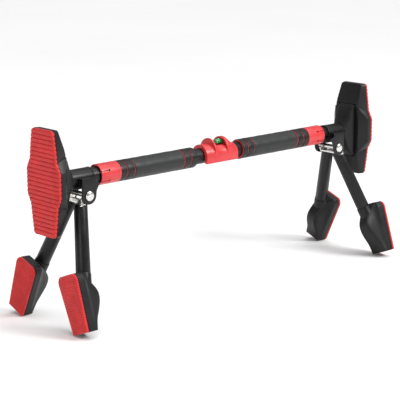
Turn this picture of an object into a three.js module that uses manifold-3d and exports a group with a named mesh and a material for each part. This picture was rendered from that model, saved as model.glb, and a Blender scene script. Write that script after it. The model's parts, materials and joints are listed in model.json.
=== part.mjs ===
// Doorway pull up bar with a screw-out telescopic tube, two wall pads and four folding support legs.
// Millimetres. X runs along the bar, -Y is the front, +Z is up.
// Everything is laid out from the bar's own axis, then lifted so that the four feet stand on z = 0.
import * as THREE from 'three';
import { mergeVertices } from 'three/addons/utils/BufferGeometryUtils.js';
import Module from 'manifold-3d';

const wasm = await Module();
wasm.setup();

// ---------- driving dimensions ----------
const GAP = 0.3;                    // clearance between touching pieces
const ROUND = 28;                   // facets round a large turned piece
const SMALL_ROUND = 18;             // facets round a small one
const ARCH_STEPS = 14;              // facets round an arched section of the saddle

const WALL_FACE = 420.1;            // outer face of both wall pads, from the middle of the bar
const PAD_THICKNESS = 5.3;
const PAD_BACK = WALL_FACE - PAD_THICKNESS;
const PAD_BEVEL = 1.6;
const PAD_INSET = 0.5;              // the rubber stands in from the shell's rim

const CORE_RADIUS = 15.2;           // middle tube, which carries the lock saddle
const CORE_BORE = 13.2;
const CORE_HALF_LENGTH = 104;

const GRIP_TUBE_BORE = 15.9;        // the tube that the hand turns
const GRIP_TUBE_RADIUS = 17.4;
const GRIP_RADIUS = 20;
const GRIP_INNER_END = 62.4;
const COLLAR_START = 253.3;
const COLLAR_END = 300.2;
const GRIP_TUBE_END = 284;
const RIB_CENTRES = [76.9, 94.1, 220.1, 237.8];
const RIB_WIDTH = 1.2;
const RIB_RADIUS = 19.7;
const RIB_GROOVE = 0.4;
const FLANGE_THICKNESS = 1.8;
const SOFT_EDGE = 0.7;              // rounded ends of the foam and the bands
const SNAP_FINGERS = 6;
const SNAP_TURN = -3;               // degrees from the top to the first slot
const SLOT_WIDTH = 0.9;
const SLOT_DEPTH = 19;
const SLOT_HOLE_RADIUS = 2;
const TRIM_RADIUS = 18.5;           // red sleeve under the end bands

const SCREW_RADIUS = 15.5;          // telescopic tube, driven out by the collar nut
const SCREW_BORE = 13.5;
const SCREW_START = 132;
const SCREW_END = 392;

const SLEEVE_RADIUS = 17.5;
const SLEEVE_START = 315.5;
const SLEEVE_END = 366;
const SLEEVE_LIP = 0.5;
const SLEEVE_LIP_WIDTH = 1.6;
const SLEEVE_TUCK = 18;             // length of the sleeve inside the hub

const HUB_BASE = 389.4;             // moulded cone between the sleeve and the wall shell
const HUB_HALF_WIDTH = 23.4;
const HUB_TOP = 56.5;
const HUB_BOTTOM = -54.6;

const PLATE_RISE = 1.8;             // the wall pads sit a little above the bar's axis
const PLATE_OUTLINE = [[26.5, 98], [30.6, 96.4], [32.2, 92], [36.4, 62], [38.9, 41.7], [48.6, 22.4]];
const SPINE_BACK = [[404.4, 24.6, 97.4], [403.6, 27.2, 95.4], [402.4, 28.2, 91],
  [392.4, 30, 61], [390.4, 30.4, 52]];
const WING_BACK = [[394.6, 36.6, 43], [390.4, 33, 48], [404.6, 48.3, 24.4]];
const RECESS_FLOOR = 394.4;         // pocket that takes the base of the hub
const RECESS_ROOM = 0.6;
const SHELL_HOLLOW = 405;           // open back of the shell, behind the pad
const HOLLOW_HALF_WIDTH = 24;
const HOLLOW_HALF_HEIGHT = 86;

const PIVOT_X = 336.5;              // fold hinge of the legs
const PIVOT_Z = -29.6;
const EAR_OUTER = 28;
const EAR_INNER = 25;
const EAR_HALF_WIDTH = 16;
const EAR_TOP = 3.4;
const STOP_WING = 9;                // how far the stop wing stands out from the ear
const STOP_WING_TOP = -5;
const STOP_WING_TIP = -8.5;
const STOP_WING_FOOT = -21.5;
const CRADLE_THICKNESS = 3.3;
const SHELF_THICKNESS = 3;
const BOLT_RADIUS = 5;
const BOLT_HEAD_RADIUS = 9.5;
const BOLT_HEAD_HEIGHT = 4;
const BOLT_TAIL = 34.5;
const BOLT_SOCKET_RADIUS = 2.9;
const NUT_RADIUS = 9.2;
const NUT_HEIGHT = 6.4;

const YOKE_TOP = -39.6;             // plate that carries the two legs
const YOKE_THICKNESS = 3;
const YOKE_HALF_WIDTH = 24.4;
const YOKE_INBOARD = 3;             // reach of the plate each way from the hinge
const YOKE_OUTBOARD = 17.5;
const YOKE_LIP_TOP = -35;
const LUG_RADIUS = 10;

const SPLAY = THREE.MathUtils.degToRad(21.4);   // each leg leans sideways from the bar
const LEG_TILT = THREE.MathUtils.degToRad(14.6); // and outward to the wall
const LEG_OFFSET = -1.8;            // legs sit a little inside their own splayed plane
const LEG_JOINT_REACH = 171;        // distance down the splayed plane to the foot socket
const LEG_JOINT_X = 380.3;
const LEG_TOP_REACH = 40;
const LEG_TOP_RADIUS = 12.5;
const LEG_END_RADIUS = 13.6;
const LEG_BORE = 10.9;
const LEG_WALL = 1.6;
const EAR_ROOM = YOKE_HALF_WIDTH + 0.2;      // past this the leg tops stay under the ears
const LEG_TOP_UNDER_EARS = -46.2;
const SPIGOT_LENGTH = 26;
const SPIGOT_WALL = 2.5;
const YOKE_SPIGOT = 34;

const FOOT_END_REACH = 275;
const FOOT_BASE_BACK = 399;
const FOOT_NECK_RADIUS = 14.1;
const FOOT_NECK_LENGTH = 34;
// reach, half width of the pad, back of the hump, half width of the hump
const FOOT_SECTIONS = [
  [167, 19.5, 398.5, 18], [169, 23, 396.5, 19], [173, 26.2, 391, 17.5], [179, 28, 384, 15],
  [190, 27.3, 375.5, 13.8], [202, 26.6, 367, 13.5], [212, 25.9, 363.8, 13.6],
  [226, 25, 366.6, 14.6], [241, 24.1, 375, 15.8], [258, 23, 385.8, 17.6], [275, 22, 392.8, 20.6],
];

const SADDLE_BORE = 15.5;           // red lock body on the middle of the bar
const SADDLE_BOTTOM = -13.5;
// x, half width, height of the spring line, top and bottom of each arched section
const SADDLE_BODY = [[-40, 22.5, 0, 22.5, SADDLE_BOTTOM], [38, 22.5, 0, 20, SADDLE_BOTTOM],
  [43.6, 21.8, 0, 17.6, -12.4], [45.2, 20.4, 0, 16.4, -10.5]];
const SADDLE_PLATE = [[-17.8, 22.4, 10.2, 32.7, -13], [-14.8, 22.4, 10.2, 32.7, -13]];
const SADDLE_HOOD = [[14.2, 22.4, 10.2, 32.7, -13], [21, 22.4, 10.2, 32.6, -13],
  [24.5, 22.3, 8.6, 30.2, -13], [29, 22.2, 5.6, 25.4, -13], [36, 22, 2, 20.4, -13]];
const HOOD_CAVITY = [[13, 19.8, 10.2, 30.1, 5], [20.6, 19.8, 10.2, 30.1, 5]];
const VIAL_RADIUS = 5.3;
const VIAL_LENGTH = 20;
const VIAL_Z = 23;
const VIAL_POCKET_FLOOR = 16.6;
const VIAL_POCKET_HALF_WIDTH = 11;

const BAR_HEIGHT = FOOT_END_REACH * Math.cos(SPLAY)
  + (FOOT_SECTIONS.at(-1)[1] - LEG_OFFSET) * Math.sin(SPLAY);

// ---------- finishes ----------
const finish = {
  black: { color: 0x1d1d1f, roughness: 0.5, metalness: 0.0 },
  powder: { color: 0x1b1b1d, roughness: 0.45, metalness: 0.2 },
  red: { color: 0xd83238, roughness: 0.4, metalness: 0.0 },
  pad: { color: 0xc02a2c, roughness: 0.7, metalness: 0.0 },
  foam: { color: 0x2c2c2e, roughness: 0.9, metalness: 0.0 },
  steel: { color: 0x9a9da1, roughness: 0.35, metalness: 1.0 },
  chrome: { color: 0xe4e6e8, roughness: 0.12, metalness: 1.0 },
  vial: { color: 0x3fae5c, roughness: 0.1, metalness: 0.0 },
};

// ---------- solids ----------
function toSolid(geometry) {
  const bare = geometry.index ? geometry.toNonIndexed() : geometry.clone();
  bare.deleteAttribute('normal');
  bare.deleteAttribute('uv');
  const merged = mergeVertices(bare, 1e-4);
  return new wasm.Manifold(new wasm.Mesh({
    numProp: 3,
    vertProperties: new Float32Array(merged.attributes.position.array),
    triVerts: new Uint32Array(merged.index.array),
  }));
}

function toGeometry(solid) {
  const mesh = solid.getMesh();
  const geometry = new THREE.BufferGeometry();
  geometry.setAttribute('position', new THREE.BufferAttribute(mesh.vertProperties, 3));
  geometry.setIndex(new THREE.BufferAttribute(mesh.triVerts, 1));
  geometry.computeVertexNormals();
  return geometry;
}

// A turned piece about the X axis, from a closed list of [x, radius] given anticlockwise.
function turned(profile, facets = ROUND) {
  const points = [...profile, profile[0]].map(([x, r]) => new THREE.Vector2(r, x));
  return new THREE.LatheGeometry(points, facets).rotateZ(-Math.PI / 2);
}

function tube(x0, x1, bore, radius, facets = ROUND) {
  return turned([[x0, bore], [x0, radius], [x1, radius], [x1, bore]], facets);
}

function rod(x0, x1, radius, facets = SMALL_ROUND) {
  return new THREE.CylinderGeometry(radius, radius, x1 - x0, facets)
    .rotateZ(-Math.PI / 2).translate((x0 + x1) / 2, 0, 0);
}

function block(x0, x1, y0, y1, z0, z1) {
  return new THREE.BoxGeometry(x1 - x0, y1 - y0, z1 - z0)
    .translate((x0 + x1) / 2, (y0 + y1) / 2, (z0 + z1) / 2);
}

// A skin over a row of equal rings, closed by a fan of triangles at each end.
function loft(rings, capStart, capEnd) {
  const count = rings[0].length;
  const positions = rings.flat().flatMap((p) => p);
  const index = [];
  for (let k = 0; k < rings.length - 1; k += 1) {
    for (let i = 0; i < count; i += 1) {
      const a = k * count + i;
      const b = k * count + (i + 1) % count;
      index.push(a, b, b + count, a, b + count, a + count);
    }
  }
  for (const [p, q, r] of capStart) index.push(r, q, p);
  const last = (rings.length - 1) * count;
  for (const [p, q, r] of capEnd) index.push(p + last, q + last, r + last);
  const geometry = new THREE.BufferGeometry();
  geometry.setAttribute('position', new THREE.Float32BufferAttribute(positions, 3));
  geometry.setIndex(facesOut(positions, index) ? index : index.reverse());
  return geometry;
}

// True when the triangles wind so that they enclose a positive volume.
function facesOut(positions, index) {
  const corner = (k) => new THREE.Vector3().fromArray(positions, 3 * index[k]);
  let volume = 0;
  for (let k = 0; k < index.length; k += 3) {
    volume += corner(k).dot(corner(k + 1).cross(corner(k + 2)));
  }
  return volume > 0;
}

// Triangles that close a flat ring, seen along X with y to the right and z up.
function flatCap(ring) {
  return THREE.ShapeUtils.triangulateShape(ring.map(([, y, z]) => new THREE.Vector2(y, z)), []);
}

// ---------- scene graph ----------
const bar = new THREE.Group();
bar.position.z = BAR_HEIGHT;

function add(parent, name, geometry, look) {
  const mesh = new THREE.Mesh(geometry, new THREE.MeshStandardMaterial(finish[look]));
  mesh.name = name;
  parent.add(mesh);
  return mesh;
}

// ---------- wall pads ----------
// The outline of a wall pad, drawn in by inset all round, anticlockwise seen from +X.
function plateRing(x, inset) {
  const upper = PLATE_OUTLINE.map(([y, z]) => [y - inset, z - (z > 90 ? inset : 0)]);
  const right = [...upper, ...upper.map(([y, z]) => [y, -z]).reverse()];
  const left = right.map(([y, z]) => [-y, z]).reverse();
  return [...right.reverse(), ...left.reverse()].map(([y, z]) => [x, y, z + PLATE_RISE]);
}

// Every point of a list repeated above and below, and to the left and right, of the pad's middle.
function mirrored(points) {
  return points.flatMap(([x, y, z]) => [
    [x, y, PLATE_RISE + z], [x, -y, PLATE_RISE + z],
    [x, y, PLATE_RISE - z], [x, -y, PLATE_RISE - z],
  ]);
}

// Moulded shell: a tall spine with slanted ends, crossed by a wider block in the middle.
function wallShell() {
  const frontX = PAD_BACK - GAP;
  const front = PLATE_OUTLINE.map(([y, z]) => [frontX, y, z]);
  const spine = wasm.Manifold.hull(mirrored([...front.slice(0, 5), ...SPINE_BACK]));
  const wing = wasm.Manifold.hull(mirrored([...front.slice(4), ...WING_BACK]));
  const recessHalf = HUB_HALF_WIDTH + RECESS_ROOM;
  const recess = toSolid(block(SLEEVE_END, RECESS_FLOOR, -recessHalf, recessHalf,
    HUB_BOTTOM - RECESS_ROOM, HUB_TOP + RECESS_ROOM));
  const hollow = toSolid(block(SHELL_HOLLOW, WALL_FACE, -HOLLOW_HALF_WIDTH, HOLLOW_HALF_WIDTH,
    PLATE_RISE - HOLLOW_HALF_HEIGHT, PLATE_RISE + HOLLOW_HALF_HEIGHT));
  const socket = toSolid(rod(RECESS_FLOOR - 2, SCREW_END + 2, SLEEVE_RADIUS, ROUND));
  return spine.add(wing).subtract(recess).subtract(hollow).subtract(socket);
}

function wallPad() {
  const back = plateRing(PAD_BACK, PAD_INSET);
  const edge = plateRing(WALL_FACE - PAD_BEVEL, PAD_INSET);
  const face = plateRing(WALL_FACE, PAD_INSET + PAD_BEVEL);
  return loft([back, edge, face], flatCap(back), flatCap(face));
}

// Cone with a rectangular base that narrows to the round sleeve.
function hub() {
  // x, half width, top, bottom, squareness
  const levels = [
    [RECESS_FLOOR - GAP, HUB_HALF_WIDTH, HUB_TOP, HUB_BOTTOM, 16],
    [HUB_BASE, HUB_HALF_WIDTH, HUB_TOP, HUB_BOTTOM, 14],
    [384, 22.4, 51.2, -50.6, 10],
    [378, 21.2, 43.8, -44, 6],
    [372.5, 19.8, 31.5, -35.5, 3.6],
    [368.5, 18.9, 22.6, -26, 2.6],
    [SLEEVE_END - 1.6, 18.4, 18.4, -18.4, 2],
  ];
  const rings = levels.map(([x, w, top, bottom, power]) => {
    const ring = [];
    for (let i = 0; i < ROUND; i += 1) {
      const angle = (i / ROUND) * 2 * Math.PI + Math.PI / ROUND;
      const c = Math.cos(angle);
      const s = Math.sin(angle);
      const reach = (Math.abs(c) ** power + Math.abs(s) ** power) ** (-1 / power);
      ring.push([x, w * reach * c, (s > 0 ? top : -bottom) * reach * s]);
    }
    return ring;
  }).reverse();
  const cone = toSolid(loft(rings, flatCap(rings[0]), flatCap(rings.at(-1))));
  const bore = toSolid(rod(SLEEVE_END - 20, RECESS_FLOOR + 1, SLEEVE_RADIUS + GAP, ROUND));
  return cone.subtract(bore);
}

// ---------- legs ----------
// Side view of a bracket ear: straight sides, round foot about the bolt and a small stop wing.
function earOutline() {
  const inboard = PIVOT_X - EAR_HALF_WIDTH;
  const shape = new THREE.Shape();
  shape.moveTo(inboard, EAR_TOP);
  shape.lineTo(inboard, STOP_WING_TOP);
  shape.lineTo(inboard - STOP_WING, STOP_WING_TIP);
  shape.lineTo(inboard - 1, STOP_WING_FOOT);
  shape.lineTo(inboard, PIVOT_Z);
  shape.absarc(PIVOT_X, PIVOT_Z, EAR_HALF_WIDTH, Math.PI, 2 * Math.PI, false);
  shape.lineTo(PIVOT_X + EAR_HALF_WIDTH, EAR_TOP);
  return shape;
}

// A flat outline in X and Z, given thickness from y0 to y1.
function plate(outline, y0, y1) {
  const geometry = new THREE.ExtrudeGeometry(outline,
    { depth: y1 - y0, bevelEnabled: false, curveSegments: 14 });
  return toSolid(geometry.rotateX(Math.PI / 2).translate(0, y1, 0));
}

function boltHole() {
  return toSolid(rod(-40, 40, BOLT_RADIUS + GAP).rotateZ(Math.PI / 2)
    .translate(PIVOT_X, 0, PIVOT_Z));
}

function bracket() {
  const x0 = PIVOT_X - EAR_HALF_WIDTH;
  const x1 = PIVOT_X + EAR_HALF_WIDTH;
  const shelf = toSolid(block(x0, x1, -EAR_OUTER, EAR_OUTER, EAR_TOP - SHELF_THICKNESS, EAR_TOP));
  const cradle = toSolid(rod(x0, x1, SLEEVE_RADIUS + CRADLE_THICKNESS, ROUND))
    .subtract(toSolid(block(x0 - 1, x1 + 1, -EAR_OUTER, EAR_OUTER, EAR_TOP, 40)));
  const sleeveRoom = toSolid(rod(x0 - 5, x1 + 5, SLEEVE_RADIUS + GAP, ROUND));
  const outline = earOutline();
  return shelf.add(cradle)
    .add(plate(outline, -EAR_OUTER, -EAR_INNER))
    .add(plate(outline, EAR_INNER, EAR_OUTER))
    .subtract(sleeveRoom).subtract(boltHole());
}

// Button head bolt along Y with its head at -Y, drawn about its own axis first.
function bolt() {
  const seat = EAR_OUTER + GAP;
  const top = seat + BOLT_HEAD_HEIGHT;
  const shank = turned([[-BOLT_TAIL, 0], [-BOLT_TAIL, BOLT_RADIUS], [seat, BOLT_RADIUS],
    [seat, BOLT_HEAD_RADIUS], [seat + 1.2, BOLT_HEAD_RADIUS], [seat + 3, 7.6],
    [top, 4.6], [top, 0]], SMALL_ROUND);
  const socket = new THREE.CylinderGeometry(BOLT_SOCKET_RADIUS, BOLT_SOCKET_RADIUS,
    BOLT_HEAD_HEIGHT, 6).rotateZ(-Math.PI / 2).translate(top + 0.5, 0, 0);
  return toSolid(shank.rotateZ(-Math.PI / 2)).subtract(toSolid(socket.rotateZ(-Math.PI / 2)));
}

function nut() {
  const middle = EAR_OUTER + GAP + NUT_HEIGHT / 2;
  const hex = new THREE.CylinderGeometry(NUT_RADIUS, NUT_RADIUS, NUT_HEIGHT, 6)
    .translate(0, middle, 0);
  const thread = new THREE.CylinderGeometry(BOLT_RADIUS + GAP, BOLT_RADIUS + GAP,
    NUT_HEIGHT + 2, SMALL_ROUND).translate(0, middle, 0);
  return toSolid(hex).subtract(toSolid(thread));
}

// Stands a piece turned about X on the leg's axis, in the leg's own splayed plane.
function alongLeg(geometry) {
  return toIndexed(geometry.rotateY(Math.PI / 2 - LEG_TILT)
    .translate(LEG_JOINT_X, LEG_OFFSET, -LEG_JOINT_REACH));
}

function toIndexed(geometry) {
  geometry.deleteAttribute('normal');
  geometry.deleteAttribute('uv');
  return mergeVertices(geometry, 1e-4);
}

// Leans a piece of a leg sideways, mirrored first when it belongs to the -Y leg.
function splayed(geometry, ySide) {
  if (ySide < 0) {
    geometry.scale(1, -1, 1);
    const index = geometry.index.array;
    for (let i = 0; i < index.length; i += 3) [index[i], index[i + 1]] = [index[i + 1], index[i]];
  }
  return geometry.rotateX(ySide * SPLAY);
}

// Distance along the leg's axis, from the foot joint up to the hinge end.
const LEG_TOP = -(LEG_JOINT_REACH - LEG_TOP_REACH) / Math.cos(LEG_TILT);

// Room that everything under the hinge leaves for the two ears.
function earRooms() {
  return [[EAR_ROOM, 90], [-90, -EAR_ROOM]].map(([y0, y1]) => toSolid(
    block(250, 420, y0, y1, LEG_TOP_UNDER_EARS, 20)));
}

function leg(ySide) {
  const socketRadius = LEG_BORE + LEG_WALL;
  const pipe = turned([[LEG_TOP, LEG_BORE], [LEG_TOP, LEG_TOP_RADIUS], [-GAP, LEG_END_RADIUS],
    [-GAP, socketRadius], [SPIGOT_LENGTH, socketRadius],
    [SPIGOT_LENGTH, socketRadius - SPIGOT_WALL], [-6, socketRadius - SPIGOT_WALL],
    [-6, LEG_BORE]], SMALL_ROUND + 4);
  const plateRoom = toSolid(block(250, 420, -90, 90, YOKE_TOP - YOKE_THICKNESS - GAP, 20));
  return earRooms().reduce((solid, room) => solid.subtract(room),
    toSolid(splayed(alongLeg(pipe), ySide)).subtract(plateRoom));
}

// Side view of the yoke's two lugs, which stand inside the ears and carry the bolt.
function lugOutline(x0, x1) {
  const shape = new THREE.Shape();
  shape.moveTo(x0, YOKE_TOP - YOKE_THICKNESS);
  shape.lineTo(x1, YOKE_TOP - YOKE_THICKNESS);
  shape.lineTo(x1, YOKE_LIP_TOP);
  shape.absarc(PIVOT_X, PIVOT_Z, LUG_RADIUS, 0.5, Math.PI, false);
  return shape;
}

function yoke() {
  const x0 = PIVOT_X - YOKE_INBOARD;
  const x1 = PIVOT_X + YOKE_OUTBOARD;
  const under = YOKE_TOP - YOKE_THICKNESS;
  const floor = toSolid(block(x0, x1, -YOKE_HALF_WIDTH, YOKE_HALF_WIDTH, under, YOKE_TOP));
  const lip = toSolid(block(x1 - YOKE_THICKNESS, x1, -YOKE_HALF_WIDTH, YOKE_HALF_WIDTH,
    under, YOKE_LIP_TOP));
  const outline = lugOutline(x0, x1);
  let solid = floor.add(lip)
    .add(plate(outline, -YOKE_HALF_WIDTH, YOKE_THICKNESS - YOKE_HALF_WIDTH))
    .add(plate(outline, YOKE_HALF_WIDTH - YOKE_THICKNESS, YOKE_HALF_WIDTH));
  const below = toSolid(block(250, 420, -90, 90, -120, under + 0.2));
  for (const ySide of [-1, 1]) {
    const spigot = rod(LEG_TOP - 4, LEG_TOP + YOKE_SPIGOT, LEG_BORE - GAP);
    solid = solid.add(toSolid(splayed(alongLeg(spigot), ySide)).intersect(below));
  }
  return earRooms().reduce((rest, room) => rest.subtract(room), solid).subtract(boltHole());
}

// ---------- feet ----------
function footPadRing(x, inset) {
  const side = FOOT_SECTIONS.map(([reach, half], k) => {
    const atTop = k === 0 ? inset : 0;
    const atBottom = k === FOOT_SECTIONS.length - 1 ? inset : 0;
    return [reach + atTop - atBottom, half - inset];
  });
  const outer = side.map(([reach, half]) => [x, half + LEG_OFFSET, -reach]);
  const inner = side.map(([reach, half]) => [x, -half + LEG_OFFSET, -reach]).reverse();
  return [...outer.reverse(), ...inner.reverse()];
}

function footPad() {
  const back = footPadRing(PAD_BACK, 0.4);
  const edge = footPadRing(WALL_FACE - 1.2, 0.4);
  const face = footPadRing(WALL_FACE, 1.6);
  return loft([back, edge, face], flatCap(back), flatCap(face));
}

function footBody() {
  const rings = FOOT_SECTIONS.map(([reach, half, backX, backHalf]) => {
    const flankX = FOOT_BASE_BACK - 0.62 * (FOOT_BASE_BACK - backX);
    const flankHalf = backHalf + 0.16 * (half - backHalf);
    const right = [[PAD_BACK - GAP, half], [FOOT_BASE_BACK, half - 1.4],
      [FOOT_BASE_BACK - 0.25 * (FOOT_BASE_BACK - backX), backHalf + 0.42 * (half - backHalf)],
      [flankX, flankHalf], [backX, backHalf]];
    const left = right.map(([x, t]) => [x, -t]).reverse();
    return [...right, ...left].map(([x, t]) => [x, t + LEG_OFFSET, -reach]);
  });
  const cap = (ring) => THREE.ShapeUtils.triangulateShape(
    ring.map(([x, t]) => new THREE.Vector2(x, t)), []);
  return loft(rings, cap(rings[0]), cap(rings.at(-1)));
}

function foot(ySide) {
  const hump = toSolid(splayed(footBody(), ySide));
  const neck = rod(0, FOOT_NECK_LENGTH, FOOT_NECK_RADIUS, ROUND);
  const bore = rod(-2, SPIGOT_LENGTH + 1, LEG_BORE + LEG_WALL + GAP, ROUND);
  return hump.add(toSolid(splayed(alongLeg(neck), ySide)))
    .subtract(toSolid(splayed(alongLeg(bore), ySide)));
}

// ---------- bar ----------
function collar() {
  const shell = turned([[COLLAR_START, GRIP_TUBE_RADIUS + GAP], [COLLAR_START, 19.2],
    [COLLAR_START + 0.8, GRIP_RADIUS], [COLLAR_END - 0.6, GRIP_RADIUS], [COLLAR_END, 19.4],
    [COLLAR_END, 18.3], [GRIP_TUBE_END, 18.3], [GRIP_TUBE_END, GRIP_TUBE_RADIUS + GAP]]);
  let solid = toSolid(shell);
  // Snap fingers: slots from the open end, each ending in a small round hole.
  for (let k = 0; k < SNAP_FINGERS; k += 1) {
    const turn = THREE.MathUtils.degToRad(SNAP_TURN + (360 / SNAP_FINGERS) * k);
    const slotEnd = COLLAR_END - SLOT_DEPTH;
    const slot = block(slotEnd, COLLAR_END + 1, -SLOT_WIDTH / 2, SLOT_WIDTH / 2, 10, 24);
    const hole = new THREE.CylinderGeometry(SLOT_HOLE_RADIUS, SLOT_HOLE_RADIUS, 14, 12)
      .rotateX(Math.PI / 2).translate(slotEnd, 0, 18);
    solid = solid.subtract(toSolid(slot.rotateX(turn))).subtract(toSolid(hole.rotateX(turn)));
  }
  return solid;
}

function foamProfile(x0, x1, bore) {
  const edge = GRIP_RADIUS - SOFT_EDGE;
  return turned([[x0, bore], [x0, edge], [x0 + SOFT_EDGE, GRIP_RADIUS],
    [x1 - SOFT_EDGE, GRIP_RADIUS], [x1, edge], [x1, bore]]);
}

function trimRing(start, end, ribs, innerFlange) {
  const bore = GRIP_TUBE_RADIUS + GAP;
  const points = innerFlange
    ? [[start, GRIP_TUBE_BORE], [start, TRIM_RADIUS]]
    : [[start, bore], [start, TRIM_RADIUS]];
  for (const rib of ribs) {
    const r0 = rib - RIB_WIDTH / 2;
    const r1 = rib + RIB_WIDTH / 2;
    if (r0 > start + 0.01) points.push([r0, TRIM_RADIUS]);
    points.push([r0, RIB_RADIUS], [r1, RIB_RADIUS]);
    if (r1 < end - 0.01) points.push([r1, TRIM_RADIUS]);
  }
  if (ribs.at(-1) + RIB_WIDTH / 2 < end - 0.01) points.push([end, TRIM_RADIUS]);
  points.push([end, bore]);
  if (innerFlange) {
    points.push([start + FLANGE_THICKNESS, bore], [start + FLANGE_THICKNESS, GRIP_TUBE_BORE]);
  }
  const clean = points.filter(([x, r], i) => i === 0
    || Math.hypot(x - points[i - 1][0], r - points[i - 1][1]) > 1e-6);
  return turned(clean);
}

function addGrip(side, sideName) {
  const group = new THREE.Group();
  group.rotation.z = side > 0 ? 0 : Math.PI;
  bar.add(group);
  const half = RIB_WIDTH / 2;
  const [a, b, c, d] = RIB_CENTRES;
  const bandBore = TRIM_RADIUS + GAP;
  add(group, `${sideName}_grip_tube`,
    tube(GRIP_INNER_END + FLANGE_THICKNESS + GAP, GRIP_TUBE_END - GAP, GRIP_TUBE_BORE,
      GRIP_TUBE_RADIUS), 'powder');
  add(group, `${sideName}_inner_trim_sleeve`,
    trimRing(GRIP_INNER_END, b + half, [a, b], true), 'red');
  add(group, `${sideName}_outer_trim_sleeve`,
    trimRing(c - half, COLLAR_START - GAP, [c, d], false), 'red');
  add(group, `${sideName}_inner_end_band`,
    foamProfile(GRIP_INNER_END + 0.4, a - half - RIB_GROOVE, bandBore), 'black');
  add(group, `${sideName}_inner_middle_band`,
    foamProfile(a + half + RIB_GROOVE, b - half - RIB_GROOVE, bandBore), 'black');
  add(group, `${sideName}_foam_grip`,
    foamProfile(b + half + RIB_GROOVE, c - half - RIB_GROOVE, GRIP_TUBE_RADIUS + GAP), 'foam');
  add(group, `${sideName}_outer_middle_band`,
    foamProfile(c + half + RIB_GROOVE, d - half - RIB_GROOVE, bandBore), 'black');
  add(group, `${sideName}_outer_end_band`,
    foamProfile(d + half + RIB_GROOVE, COLLAR_START - GAP, bandBore), 'black');
  add(group, `${sideName}_locking_collar`, toGeometry(collar()), 'red');
  add(group, `${sideName}_collar_nut`,
    tube(GRIP_TUBE_END + GAP, COLLAR_END - 2.8, SCREW_RADIUS + GAP, 18), 'red');
}

function addEnd(side, sideName) {
  const group = new THREE.Group();
  group.rotation.z = side > 0 ? 0 : Math.PI;
  bar.add(group);
  const lip = SLEEVE_RADIUS + SLEEVE_LIP;
  add(group, `${sideName}_screw_tube`, tube(SCREW_START, SCREW_END, SCREW_BORE, SCREW_RADIUS),
    'powder');
  add(group, `${sideName}_end_sleeve`, turned([[SLEEVE_START, SCREW_RADIUS + GAP],
    [SLEEVE_START, lip], [SLEEVE_START + SLEEVE_LIP_WIDTH, lip],
    [SLEEVE_START + SLEEVE_LIP_WIDTH, SLEEVE_RADIUS], [SLEEVE_END + SLEEVE_TUCK, SLEEVE_RADIUS],
    [SLEEVE_END + SLEEVE_TUCK, SCREW_RADIUS + GAP]]), 'black');
  add(group, `${sideName}_hub_cone`, toGeometry(hub()), 'black');
  add(group, `${sideName}_wall_shell`, toGeometry(wallShell()), 'black');
  add(group, `${sideName}_wall_pad`, wallPad(), 'pad');
  add(group, `${sideName}_leg_bracket`, toGeometry(bracket()), 'powder');
  // The bolt heads are on the front of both ends.
  const pin = add(group, `${sideName}_pivot_bolt`, toGeometry(bolt()), 'chrome');
  pin.position.set(PIVOT_X, 0, PIVOT_Z);
  pin.rotation.z = side > 0 ? 0 : Math.PI;
  const lock = add(group, `${sideName}_pivot_nut`, toGeometry(nut()), 'steel');
  lock.position.set(PIVOT_X, 0, PIVOT_Z);
  lock.rotation.z = side > 0 ? 0 : Math.PI;
  add(group, `${sideName}_leg_yoke`, toGeometry(yoke()), 'chrome');
  for (const [ySide, frontName] of [[-1, 'front'], [1, 'rear']]) {
    const local = ySide * side;
    add(group, `${sideName}_${frontName}_leg`, toGeometry(leg(local)), 'powder');
    add(group, `${sideName}_${frontName}_foot`, toGeometry(foot(local)), 'black');
    add(group, `${sideName}_${frontName}_foot_pad`, splayed(footPad(), local), 'pad');
  }
}

// ---------- middle of the bar ----------
function archRing([x, half, spring, top, bottom]) {
  const ring = [[x, half, bottom]];
  for (let i = 0; i <= ARCH_STEPS; i += 1) {
    const angle = (Math.PI * i) / ARCH_STEPS;
    ring.push([x, half * Math.cos(angle), spring + (top - spring) * Math.sin(angle)]);
  }
  ring.push([x, -half, bottom]);
  return ring;
}

function arched(sections) {
  const rings = sections.map(archRing);
  return toSolid(loft(rings, flatCap(rings[0]), flatCap(rings.at(-1))));
}

function saddle() {
  const pocket = toSolid(block(SADDLE_PLATE[1][0], HOOD_CAVITY[1][0], -VIAL_POCKET_HALF_WIDTH,
    VIAL_POCKET_HALF_WIDTH, VIAL_POCKET_FLOOR, 24));
  const abovePocket = toSolid(block(-60, 60, -30, 30, VIAL_POCKET_FLOOR, 60));
  const cavity = arched(HOOD_CAVITY).intersect(abovePocket);
  const tubeRoom = toSolid(rod(-60, 60, SADDLE_BORE, ROUND));
  const mouth = toSolid(block(-60, 60, -SADDLE_BORE, SADDLE_BORE, -30, 0));
  return arched(SADDLE_BODY).add(arched(SADDLE_PLATE)).add(arched(SADDLE_HOOD))
    .subtract(cavity).subtract(pocket).subtract(tubeRoom).subtract(mouth);
}

function addMiddle() {
  add(bar, 'core_tube', tube(-CORE_HALF_LENGTH, CORE_HALF_LENGTH, CORE_BORE, CORE_RADIUS),
    'powder');
  add(bar, 'lock_saddle', toGeometry(saddle()), 'red');
  const vial = new THREE.CapsuleGeometry(VIAL_RADIUS, VIAL_LENGTH - 2 * VIAL_RADIUS, 5, 16);
  add(bar, 'level_vial', vial.rotateZ(Math.PI / 2), 'vial').position.set(VIAL_LENGTH / 2, 0, VIAL_Z);
}

addMiddle();
for (const [side, sideName] of [[-1, 'left'], [1, 'right']]) {
  addGrip(side, sideName);
  addEnd(side, sideName);
}

const assembly = new THREE.Group();
assembly.add(bar);
export default assembly;
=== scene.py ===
# %% [markdown]
# # A doorway pull up bar
# A screw-out steel tube with foam grips and red locking collars, held between two door jambs by
# ribbed pads, with four folding legs below it. The measured model is loaded first, and every piece
# made here sits in the place that the measured model gives it.

# %% The measured model
import json
import math

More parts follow.
